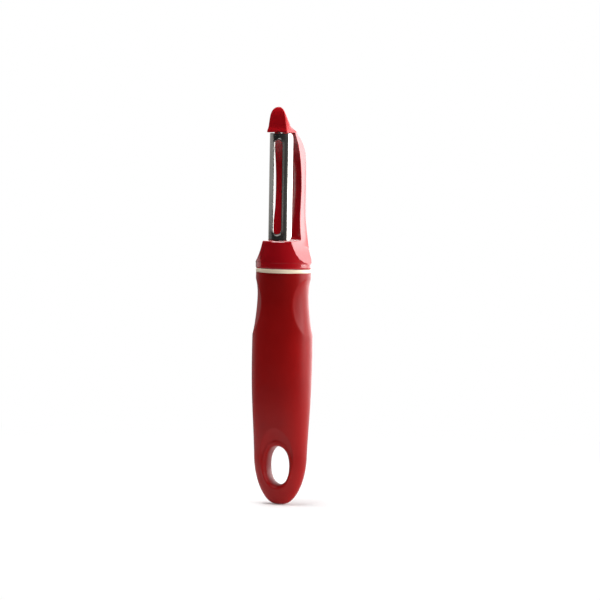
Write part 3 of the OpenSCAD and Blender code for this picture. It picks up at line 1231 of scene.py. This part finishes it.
@dataclass
class Blade:
    """The swivelling blade: a channel of sheet steel with a long slot, and a folded lug at each end.

    Fields:
        low, high: Heights of its two ends.
        crown_r, crown_y, crown_turn: Radius and front of the crown, and its reach in degrees to each side.
        corner_r, leg_turn: Outer radius of the bends, and the angle that they turn to in degrees.
        leg_back, leg_end_r: Depth where the legs end, and the radius of their ends.
        sheet: Thickness of the steel.
        slot_hw, slot_half: Half width and half length of the slot.
        lip, lip_reach: Height of the lip round the slot, and how far it spreads.
        pivot_y: Depth of the pivot's line.
        lug_r, lug_gap, lug_squareness: A lug's radius, its gap to the crown, and the power of its square
            front.
        break_width, break_angle: Width of the broken edges, and the angle in degrees past which an edge is
            broken.
        sharp: Angle in degrees past which an edge is shaded sharp.
    """

    low: float = 136.75
    high: float = 191.55
    crown_r: float = 9.5
    crown_y: float = -10.5
    corner_r: float = 1.9
    crown_turn: float = 29.1
    leg_turn: float = 85.0
    leg_back: float = -4.6
    leg_end_r: float = 3.0
    sheet: float = 0.8
    slot_hw: float = 2.3
    slot_half: float = 24.2
    lip: float = 0.32
    lip_reach: float = 0.75
    pivot_y: float = -7.6
    lug_r: float = 3.0
    lug_gap: float = 0.6
    lug_squareness: float = 6.0
    break_width: float = 0.12
    break_angle: float = 50.0
    sharp: float = 28.0

    @property
    def middle(self) -> float:
        """Height of the blade's middle."""
        return (self.low + self.high) / 2

    @property
    def corner_start(self) -> float:
        """Length of the section from its middle to the end of the crown."""
        return self.crown_r * math.radians(self.crown_turn)

    @property
    def leg_start(self) -> float:
        """Length of the section from its middle to the start of a leg."""
        return self.corner_start + self.corner_r * math.radians(self.leg_turn - self.crown_turn)

    def section(self, run: float) -> tuple[Vector, Vector]:
        """A point of the section's outer line.

        Args:
            run: Length along the line from the crown's middle, positive towards +X.

        Returns:
            The point, and the outward direction there.
        """
        side, run = math.copysign(1.0, run), abs(run)
        centre = Vector((0.0, self.crown_y + self.crown_r))
        turn = math.radians(self.crown_turn)
        if run <= self.corner_start:
            turn, radius, along = run / self.crown_r, self.crown_r, 0.0
        else:
            reach = self.crown_r - self.corner_r
            centre = centre + reach * Vector((math.sin(turn), -math.cos(turn)))
            turn = min(turn + (run - self.corner_start) / self.corner_r, math.radians(self.leg_turn))
            radius, along = self.corner_r, max(0.0, run - self.leg_start)
        outward = Vector((math.sin(turn), -math.cos(turn)))
        point = centre + radius * outward + along * Vector((math.cos(turn), math.sin(turn)))
        return Vector((side * point.x, point.y, 0.0)), Vector((side * outward.x, outward.y, 0.0))

    def leg_length(self) -> float:
        """Length of a straight leg."""
        start = self.section(self.leg_start)[0]
        return (self.leg_back - start.y) / math.sin(math.radians(self.leg_turn))

    def columns(self) -> list[float]:
        """Lengths along the section where the sheet has a column, the same on both sides.

        Returns:
            The lengths, from the -X end.
        """
        slot = [0.0, 0.5, 1.0, 1.4, 1.75, 2.0, 2.17, self.slot_hw]
        crown = [self.slot_hw + step for step in (0.18, 0.4, 0.7, 1.05, 1.5, 2.0)]
        corner = [blend(self.corner_start, self.leg_start, k / 6) for k in range(7)]
        shares = (0.12, 0.3, 0.5, 0.65, 0.78, 0.9, 0.97, 1.0)
        leg = [self.leg_start + self.leg_length() * share for share in shares]
        half = slot + crown + corner + leg
        return [-run for run in reversed(half[1:])] + half

    def heights(self) -> list[float]:
        """Distances from the blade's middle where the sheet has a row, closer near the slot's ends.

        Returns:
            The distances, from the lowest up.
        """
        run = self.slot_half - self.slot_hw
        shaft = [run * k / 18 for k in range(19)]
        end = [run + step for step in (0.18, 0.42, 0.75, 1.15, 1.6, 2.1)]
        reach = (self.high - self.low) / 2
        rest = [blend(end[-1], reach, k / 6) for k in range(1, 7)]
        half = shaft + end + rest
        return [-z for z in reversed(half[1:])] + half

    def slot_gap(self, x: float, z: float) -> float:
        """Distance of a point outside the slot's outline."""
        run = self.slot_half - self.slot_hw
        return math.hypot(x, max(0.0, abs(z) - run)) - self.slot_hw

    def place(self, run: float, z: float) -> Vector:
        """Where a vertex of the sheet goes.

        Args:
            run: Its length along the section.
            z: Its distance from the blade's middle.

        Returns:
            Its place, with the slot's round end, the rounded ends of the legs and the raised lip worked in.
        """
        reach = (self.high - self.low) / 2
        start = self.slot_half - self.slot_hw
        if abs(run) <= self.slot_hw:
            push = math.sqrt(max(0.0, self.slot_hw**2 - run**2))
            fade = 1 - ease(start, reach, abs(z)) if abs(z) > start else 1.0
            if abs(z) >= start - 1e-6:
                z += math.copysign(push * fade, z)
        edge = self.leg_start + self.leg_length() - abs(run)
        if edge < self.leg_end_r:
            drop = math.sqrt(max(0.0, self.leg_end_r**2 - (self.leg_end_r - edge) ** 2))
            limit = reach - (self.leg_end_r - drop)
            z *= limit / reach
        point, outward = self.section(run)
        raised = self.lip * math.exp(-((max(0.0, self.slot_gap(run, z)) / self.lip_reach) ** 2))
        return point + outward * raised + Vector((0.0, 0.0, self.middle + z))

    def sheet_mesh(self) -> bmesh.types.BMesh:
        """The channel with its slot, as one skin.

        Returns:
            The skin.
        """
        columns, heights = self.columns(), self.heights()
        start = self.slot_half - self.slot_hw
        bm = bmesh.new()
        bmesh.ops.create_grid(bm, x_segments=len(columns) - 1, y_segments=len(heights) - 1, size=1)
        verts = list(bm.verts)
        inside = []
        for face in bm.faces:
            cells = [(columns[v.index % len(columns)], heights[v.index // len(columns)]) for v in face.verts]
            if all(abs(run) <= self.slot_hw + 1e-6 and abs(z) <= start + 1e-6 for run, z in cells):
                inside.append(face)
        for vert in verts:
            vert.co = self.place(columns[vert.index % len(columns)], heights[vert.index // len(columns)])
        bmesh.ops.delete(bm, geom=inside, context="FACES")
        bmesh.ops.recalc_face_normals(bm, faces=bm.faces)
        return bm

    def dress(self, obj: bpy.types.Object) -> None:
        """Gives the skin its thickness and breaks its edges.

        Args:
            obj: The object that holds it.
        """
        wall = obj.modifiers.new("wall", "SOLIDIFY")
        wall.thickness = self.sheet
        wall.offset = -1.0
        wall.use_even_offset = True
        edge = obj.modifiers.new("edge", "BEVEL")
        edge.width = self.break_width
        edge.segments = 2
        edge.limit_method = "ANGLE"
        edge.angle_limit = math.radians(self.break_angle)

    def lug_mesh(self, z: float) -> bmesh.types.BMesh:
        """A lug: a plate with a round end over the pivot and a square front that meets the crown.

        Args:
            z: Height of its underside.

        Returns:
            The lug.
        """
        bm = bmesh.new()
        bmesh.ops.create_circle(bm, cap_ends=True, segments=48, radius=self.lug_r)
        reach = self.pivot_y - self.crown_y - self.lug_gap
        power = self.lug_squareness
        for vert in bm.verts:
            if vert.co.y < 0:
                share = -vert.co.y / self.lug_r
                half = self.lug_r * (1 - share**power) ** (1 / power) if share < 1 else 0.0
                vert.co.x = math.copysign(half, vert.co.x) if share < 1 else 0.0
                vert.co.y = -reach * share
        bmesh.ops.translate(bm, verts=bm.verts, vec=(0.0, self.pivot_y, z))
        made = bmesh.ops.extrude_face_region(bm, geom=list(bm.faces))
        top = [item for item in made["geom"] if isinstance(item, bmesh.types.BMVert)]
        bmesh.ops.translate(bm, verts=top, vec=(0.0, 0.0, self.sheet))
        rims = [edge for edge in bm.edges if len({round(vert.co.z, 3) for vert in edge.verts}) == 1]
        bmesh.ops.bevel(
            bm, geom=rims, offset=self.break_width, offset_type="OFFSET", affect="EDGES",
            segments=2, profile=0.5, material=-1,
        )
        return bm

    def build(self, finishes: Finishes) -> None:
        """Makes the blade and its lugs and dresses them.

        Args:
            finishes: The tool's materials.
        """
        bm = smoothed(self.sheet_mesh(), self.dress)
        publish(bm, "blade_sheet", Body.BLADE, Slot.BLADE, finishes.blade, ("blade",), sharp=self.sharp)
        for name, z in (("lower_lug", self.low), ("upper_lug", self.high - self.sheet)):
            publish(
                self.lug_mesh(z), f"blade_{name}", Body.BLADE, Slot.BLADE, finishes.blade, sharp=self.sharp
            )


@dataclass
class InnerParts:
    """The CAD nodes that stay as they are, and only take a finish."""

    def build(self, finishes: Finishes) -> None:
        """Dresses the pins, bushes, dowels and core.

        Args:
            finishes: The tool's materials.
        """
        dressing = {
            "grip_core": finishes.core,
            "lower_pivot_pin": finishes.pin,
            "upper_pivot_pin": finishes.pin,
            "tang_dowels": finishes.pin,
            "lower_bush": finishes.acetal,
            "upper_bush": finishes.acetal,
        }
        for name, material in dressing.items():
            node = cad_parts[name]
            node.data.materials.clear()
            node.data.materials.append(material)
            LOG.info("node %s: dressed in %s", name, material.name)


# ----- Studio -----


@dataclass
class Studio:
    """A plain white sweep: a pale floor, a bright surround behind and a dim one in front, and the camera.

    Fields:
        turn, distance, camera_z: The camera's angle round the tool in degrees, its distance and its height.
        aim_z, aim_right: Height that it aims at, and how far right of the tool's axis.
        lean, lens, sensor: Its roll in degrees, its focal length and its width of film.
        clip: Nearest and farthest distance that it sees, in metres.
        glow_turn: Angle of the brightest part of the surround in degrees.
        glow, lift: (how far a direction faces that part, or faces up, from -1 to 1; brightness) stations.
        floor_r, fade: Radius of the floor, and the distances between which it fades out, in metres.
        lights: (name, place, size, watts) of each soft box, in metres.
    """

    turn: float = 21.0
    distance: float = 1600.0
    camera_z: float = 208.0
    aim_z: float = 105.9
    aim_right: float = 8.75
    lean: float = 1.0
    lens: float = 186.8
    sensor: float = 36.0
    clip: tuple[float, float] = (0.05, 50.0)
    glow_turn: float = 38.0
    glow: tuple[tuple[float, float], ...] = (
        (-1.0, 0.02), (-0.4, 0.04), (0.0, 0.12), (0.35, 0.5), (0.62, 1.9), (0.8, 3.9), (1.0, 4.3),
    )
    lift: tuple[tuple[float, float], ...] = (
        (-1.0, 0.5), (-0.05, 1.0), (0.1, 1.0), (0.3, 0.6), (0.65, 0.35), (1.0, 0.3),
    )
    floor_r: float = 0.42
    fade: tuple[float, float] = (0.04, 0.4)
    lights: tuple[tuple[str, tuple[float, float, float], tuple[float, float], float], ...] = (
        ("top_box", (-0.15, -0.12, 1.1), (0.7, 0.5), 11.0),
        ("left_box", (-0.95, 0.3, 0.35), (0.7, 1.1), 1.4),
        ("blade_card", (-0.33, -0.12, 0.17), (0.16, 0.09), 0.018),
        ("right_box", (0.98, -0.05, 0.4), (0.55, 0.7), 8.0),
        ("front_fill", (-0.1, -1.3, 1.2), (0.6, 0.4), 1.0),
    )

    def camera(self) -> None:
        """Places the camera."""
        turn, lean = math.radians(self.turn), math.radians(self.lean)
        right = Vector((math.cos(turn), math.sin(turn), 0.0))
        aim = right * self.aim_right + Vector((0.0, 0.0, self.aim_z))
        spot = aim + Vector((math.sin(turn), -math.cos(turn), 0.0)) * self.distance
        spot.z = self.camera_z
        back = (spot - aim).normalized()
        up = back.cross(right).normalized()
        side = right * math.cos(lean) + up * math.sin(lean)
        top = up * math.cos(lean) - right * math.sin(lean)
        data = bpy.data.cameras.new("camera")
        data.lens = self.lens
        data.sensor_width = self.sensor
        data.clip_start, data.clip_end = self.clip
        obj = linked_object("camera", data)
        rotation = Matrix((side, top, back)).transposed().to_4x4()
        obj.matrix_world = Matrix.Translation(spot * MM) @ rotation
        bpy.context.scene.camera = obj

    def surround(self) -> None:
        """Lights the scene from all round: white to look at, bright behind the tool and dim before it."""
        world = bpy.data.worlds.new("surround")
        bpy.context.scene.world = world
        world.use_nodes = True
        tree = world.node_tree
        tree.nodes.clear()
        link = tree.links.new
        place = tree.nodes.new("ShaderNodeTexCoord").outputs["Generated"]

        def level(facing: Vector, stations: tuple[tuple[float, float], ...]) -> Socket:
            """A brightness that follows how far a direction faces the given way.

            Args:
                facing: The way.
                stations: (how far it is faced, brightness) pairs.

            Returns:
                The brightness as a share of the brightest station.
            """
            dot = add_node(tree, "VectorMath")
            dot.operation = "DOT_PRODUCT"
            dot.inputs[1].default_value = facing
            link(place, dot.inputs[0])
            spread = add_node(tree, "MapRange", From_Min=-1.0, Value=dot.outputs["Value"])
            curve = add_node(tree, "FloatCurve", Value=spread.outputs["Result"])
            line = curve.mapping.curves[0]
            peak = max(value for _, value in stations)
            for k, (at, value) in enumerate(stations):
                spot = ((at + 1) / 2, value / peak)
                if k < 2:
                    line.points[k].location = spot
                else:
                    line.points.new(*spot)
            for point in line.points:
                point.handle_type = "VECTOR"
            curve.mapping.update()
            return curve.outputs["Value"]

        turn = math.radians(self.glow_turn)
        around = level(Vector((math.sin(turn), math.cos(turn), 0.0)), self.glow)
        upward = level(Vector((0.0, 0.0, 1.0)), self.lift)
        both = add_node(tree, "Math")
        both.operation = "MULTIPLY"
        link(around, both.inputs[0])
        link(upward, both.inputs[1])
        peak = max(value for _, value in self.glow)
        glow = add_node(tree, "Background", Strength=peak, Color=both.outputs["Value"])
        plain = add_node(tree, "Background", Color=(1.0, 1.0, 1.0, 1.0))
        seen = add_node(tree, "LightPath").outputs["Is Camera Ray"]
        surface = mix_shaders(tree, seen, glow.outputs["Background"], plain.outputs["Background"])
        add_node(tree, "OutputWorld", Surface=surface)

    def light(self, name: str, spot: Vector, size: tuple[float, float], watts: float) -> None:
        """Adds one soft box that looks at the middle of the tool.

        Args:
            name: Its name.
            spot: Its place in metres.
            size: Its width and height in metres.
            watts: Its power.
        """
        data = bpy.data.lights.new(name, "AREA")
        data.shape = "RECTANGLE"
        data.size, data.size_y = size
        data.energy = watts
        obj = linked_object(name, data)
        aim = Vector((0.0, 0.0, self.aim_z * MM))
        facing = (aim - spot).to_track_quat("-Z", "Y").to_matrix().to_4x4()
        obj.matrix_world = Matrix.Translation(spot) @ facing

    def floor_finish(self) -> bpy.types.Material:
        """A matt white that fades out into the plain surround, so the floor's far edge doesn't show.

        Returns:
            The material.
        """
        graph = Graph("pale_floor")
        graph.set(Base_Color=(0.8, 0.8, 0.8, 1.0), Roughness=0.6)
        graph.set(Emission_Color=(1.0, 1.0, 1.0, 1.0), Emission_Strength=0.1)
        out = add_node(graph.tree, "VectorMath")
        out.operation = "LENGTH"
        graph.tree.links.new(graph.place, out.inputs[0])
        start, end = self.fade
        fade = add_node(graph.tree, "MapRange", From_Min=start, From_Max=end, Value=out.outputs["Value"])
        fade.interpolation_type = "SMOOTHERSTEP"
        seen = add_node(graph.tree, "LightPath").outputs["Is Camera Ray"]
        far = add_node(graph.tree, "Emission", Strength=seen).outputs["Emission"]
        faded = mix_shaders(graph.tree, fade.outputs["Result"], graph.shader.outputs["BSDF"], far)
        output = next(node for node in graph.tree.nodes if node.type == "OUTPUT_MATERIAL")
        fill(graph.tree, output, Surface=faded)
        return graph.material

    def floor(self) -> None:
        """Lays the floor."""
        bm = bmesh.new()
        bmesh.ops.create_circle(bm, cap_ends=True, segments=96, radius=self.floor_r)
        mesh = bpy.data.meshes.new("floor")
        bm.to_mesh(mesh)
        bm.free()
        mesh.materials.append(self.floor_finish())
        obj = linked_object("floor", mesh)

    def build(self) -> None:
        """Sets up the whole studio."""
        scene = bpy.context.scene
        scene.view_settings.view_transform = "Standard"
        scene.view_settings.look = "None"
        self.camera()
        self.surround()
        self.floor()
        for name, spot, size, watts in self.lights:
            self.light(name, Vector(spot), size, watts)
        LOG.info("studio is set")


def main() -> None:
    """Builds every part of the tool in order, then the studio."""
    logging.basicConfig(level=logging.INFO, format="%(message)s")
    finishes = Finishes()
    for part in (InnerParts(), Grip(), Collar(), Head(), TipCap(), Blade()):
        part.build(finishes)
        LOG.info("%s is built", type(part).__name__)
    Studio().build()


if __name__ == "__main__":
    main()
